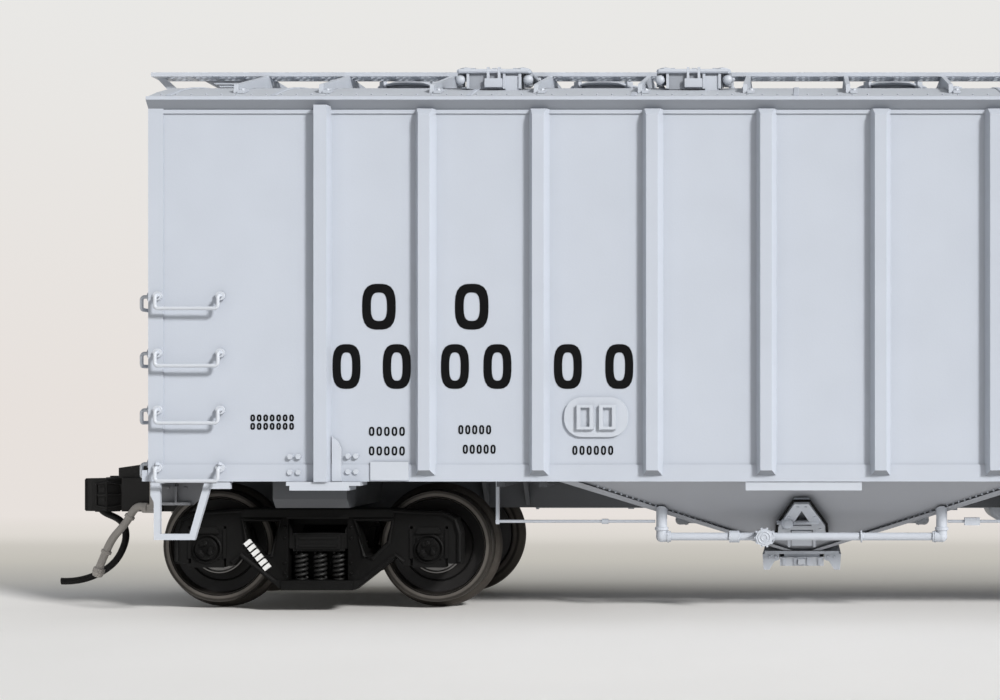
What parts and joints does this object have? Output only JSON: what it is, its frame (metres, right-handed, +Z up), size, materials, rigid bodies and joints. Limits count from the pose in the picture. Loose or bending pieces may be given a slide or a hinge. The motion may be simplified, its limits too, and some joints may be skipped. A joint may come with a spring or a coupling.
{
  "type": "model hopper car",
  "caption": "HO scale covered hopper car with ribbed sides, sloped discharge bays, roof hatches, swivelling trucks, turning wheelsets and swinging knuckle couplers.",
  "frame": {"origin": "plan centre of the car at the level of the lowest points of the wheel flanges", "axes": "+X along the car towards the hand brake end, +Y to the left when facing +X, +Z up"},
  "size_m": [0.1924, 0.0386, 0.0514],
  "materials": {
    "grey_body_paint": "light cool grey satin paint on moulded plastic",
    "painted_wire": "light grey painted wire",
    "black_truck_plastic": "matte black moulding",
    "black_coupler_metal": "matte blackened metal",
    "blackened_wheel_metal": "brown chemically blackened metal with polished tread",
    "black_spring_steel": "matte black",
    "screw_steel": "plain steel",
    "ballast_steel": "raw cut steel",
    "grey_hose_rubber": "grey flexible moulding",
    "dark_underframe": "grey moulded underframe"
  },
  "bodies": {
    "car_body": {"air_hoses": "grey_hose_rubber", "air_lines": "grey_body_paint", "air_pipes": "grey_body_paint", "air_reservoir": "grey_body_paint", "ballast_weight": "ballast_steel", "board_brackets": "grey_body_paint", "body_bolsters": "grey_body_paint", "body_shell": "grey_body_paint", "brake_cylinder": "grey_body_paint", "brake_housing": "grey_body_paint", "brake_wheel": "grey_body_paint", "card_plates": "grey_body_paint", "center_sill": "dark_underframe", "control_valve": "grey_body_paint", "discharge_gates": "grey_body_paint", "draft_box_lids": "black_coupler_metal", "draft_box_screws": "screw_steel", "draft_boxes": "black_coupler_metal", "grab_irons": "painted_wire", "hatch_covers": "grey_body_paint", "hopper_bays": "grey_body_paint", "hose_caps": "grey_body_paint", "king_pins": "screw_steel", "ladders": "grey_body_paint", "operator_frames": "grey_body_paint", "outlet_blocks": "grey_body_paint", "roof_panel": "grey_body_paint", "running_boards": "grey_body_paint", "sill_bolts": "grey_body_paint", "sill_plates": "grey_body_paint", "stirrup_steps": "grey_body_paint", "underframe_floor": "dark_underframe", "vent_boxes": "grey_body_paint"},
    "coupler_body_a": {"coupler_a": "black_coupler_metal", "knuckle_pin_a": "black_coupler_metal"},
    "coupler_body_b": {"coupler_b": "black_coupler_metal", "knuckle_pin_b": "black_coupler_metal"},
    "knuckle_body_a": {"knuckle_a": "black_coupler_metal", "trip_pin_a": "black_coupler_metal"},
    "knuckle_body_b": {"knuckle_b": "black_coupler_metal", "trip_pin_b": "black_coupler_metal"},
    "truck_a": {"truck_a_bearing_adapters": "black_truck_plastic", "truck_a_bolster": "black_truck_plastic", "truck_a_brake_beams": "black_truck_plastic", "truck_a_side_frames": "black_truck_plastic", "truck_a_springs": "black_spring_steel"},
    "wheelset_a_inner": {"truck_a_inner_axle": "blackened_wheel_metal", "truck_a_inner_wheels": "blackened_wheel_metal"},
    "wheelset_a_outer": {"truck_a_outer_axle": "blackened_wheel_metal", "truck_a_outer_wheels": "blackened_wheel_metal"},
    "truck_b": {"truck_b_bearing_adapters": "black_truck_plastic", "truck_b_bolster": "black_truck_plastic", "truck_b_brake_beams": "black_truck_plastic", "truck_b_side_frames": "black_truck_plastic", "truck_b_springs": "black_spring_steel"},
    "wheelset_b_inner": {"truck_b_inner_axle": "blackened_wheel_metal", "truck_b_inner_wheels": "blackened_wheel_metal"},
    "wheelset_b_outer": {"truck_b_outer_axle": "blackened_wheel_metal", "truck_b_outer_wheels": "blackened_wheel_metal"}
  },
  "joints": [
    {"name": "truck_a_swivel", "type": "hinge", "parent": "car_body", "child": "truck_a", "pos_m": [-0.0674, 0, 0.0089], "axis": [0, 0, 1], "range_deg": [-9, 9]},
    {"name": "axle_a_outer_spin", "type": "hinge", "parent": "truck_a", "child": "wheelset_a_outer", "pos_m": [-0.07761, 0, 0.00588], "axis": [0, 1, 0], "continuous": true},
    {"name": "axle_a_inner_spin", "type": "hinge", "parent": "truck_a", "child": "wheelset_a_inner", "pos_m": [-0.0572, 0, 0.00588], "axis": [0, 1, 0], "continuous": true},
    {"name": "coupler_a_swing", "type": "hinge", "parent": "car_body", "child": "coupler_body_a", "pos_m": [-0.0845, 0, 0.0103], "axis": [0, 0, 1], "range_deg": [-11, 11], "stiffness_Nm_per_rad": 0.0002},
    {"name": "knuckle_a_open", "type": "hinge", "parent": "coupler_body_a", "child": "knuckle_body_a", "pos_m": [-0.0913, 0.00095, 0.0103], "axis": [0, 0, -1], "range_deg": [0, 25], "stiffness_Nm_per_rad": 0.00005},
    {"name": "truck_b_swivel", "type": "hinge", "parent": "car_body", "child": "truck_b", "pos_m": [0.0674, 0, 0.0089], "axis": [0, 0, 1], "range_deg": [-9, 9]},
    {"name": "axle_b_outer_spin", "type": "hinge", "parent": "truck_b", "child": "wheelset_b_outer", "pos_m": [0.07761, 0, 0.00588], "axis": [0, 1, 0], "continuous": true},
    {"name": "axle_b_inner_spin", "type": "hinge", "parent": "truck_b", "child": "wheelset_b_inner", "pos_m": [0.0572, 0, 0.00588], "axis": [0, 1, 0], "continuous": true},
    {"name": "coupler_b_swing", "type": "hinge", "parent": "car_body", "child": "coupler_body_b", "pos_m": [0.0845, 0, 0.0103], "axis": [0, 0, 1], "range_deg": [-11, 11], "stiffness_Nm_per_rad": 0.0002},
    {"name": "knuckle_b_open", "type": "hinge", "parent": "coupler_body_b", "child": "knuckle_body_b", "pos_m": [0.0913, -0.00095, 0.0103], "axis": [0, 0, -1], "range_deg": [0, 25], "stiffness_Nm_per_rad": 0.00005}
  ]
}
